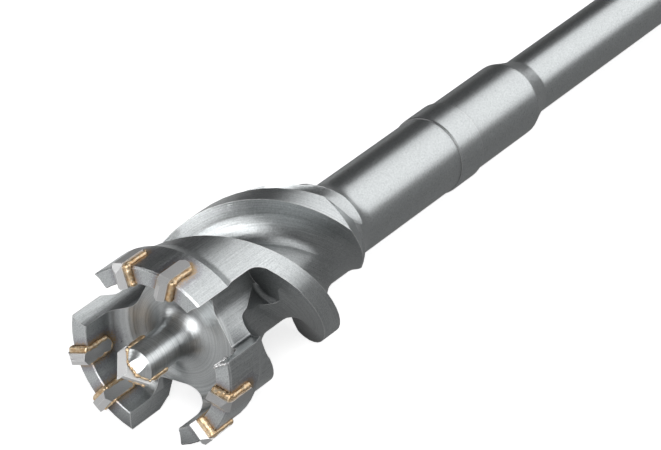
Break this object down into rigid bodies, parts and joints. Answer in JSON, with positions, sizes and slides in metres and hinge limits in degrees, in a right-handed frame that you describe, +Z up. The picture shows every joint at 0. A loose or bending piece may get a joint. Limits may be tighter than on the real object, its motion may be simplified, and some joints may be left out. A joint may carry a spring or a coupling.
{
  "type": "breakthrough drill bit",
  "caption": "Breakthrough drill bit for masonry: lobed crown with brazed carbide teeth, pilot point, short spiral flutes, long plain shaft and slotted shank.",
  "frame": {"origin": "centre of the bounding box's underside, on the floor that the drill lies on", "axes": "+X along the lying drill from the crown toward the shank, +Y across it, +Z up"},
  "size_m": [0.5999, 0.0634, 0.0634],
  "materials": {
    "steel": "satin, turned and blasted",
    "carbide": "fine ground, light grey",
    "braze": "flowed braze, golden"
  },
  "bodies": {
    "root": {"drill_body": "steel", "tooth_1_1": "carbide", "tooth_1_2": "carbide", "tooth_2_1": "carbide", "tooth_2_2": "carbide", "tooth_3_1": "carbide", "tooth_3_2": "carbide", "pilot_tip": "carbide", "tooth_braze_1_1": "braze", "tooth_braze_1_2": "braze", "tooth_braze_2_1": "braze", "tooth_braze_2_2": "braze", "tooth_braze_3_1": "braze", "tooth_braze_3_2": "braze", "pilot_braze": "braze"}
  },
  "joints": []
}
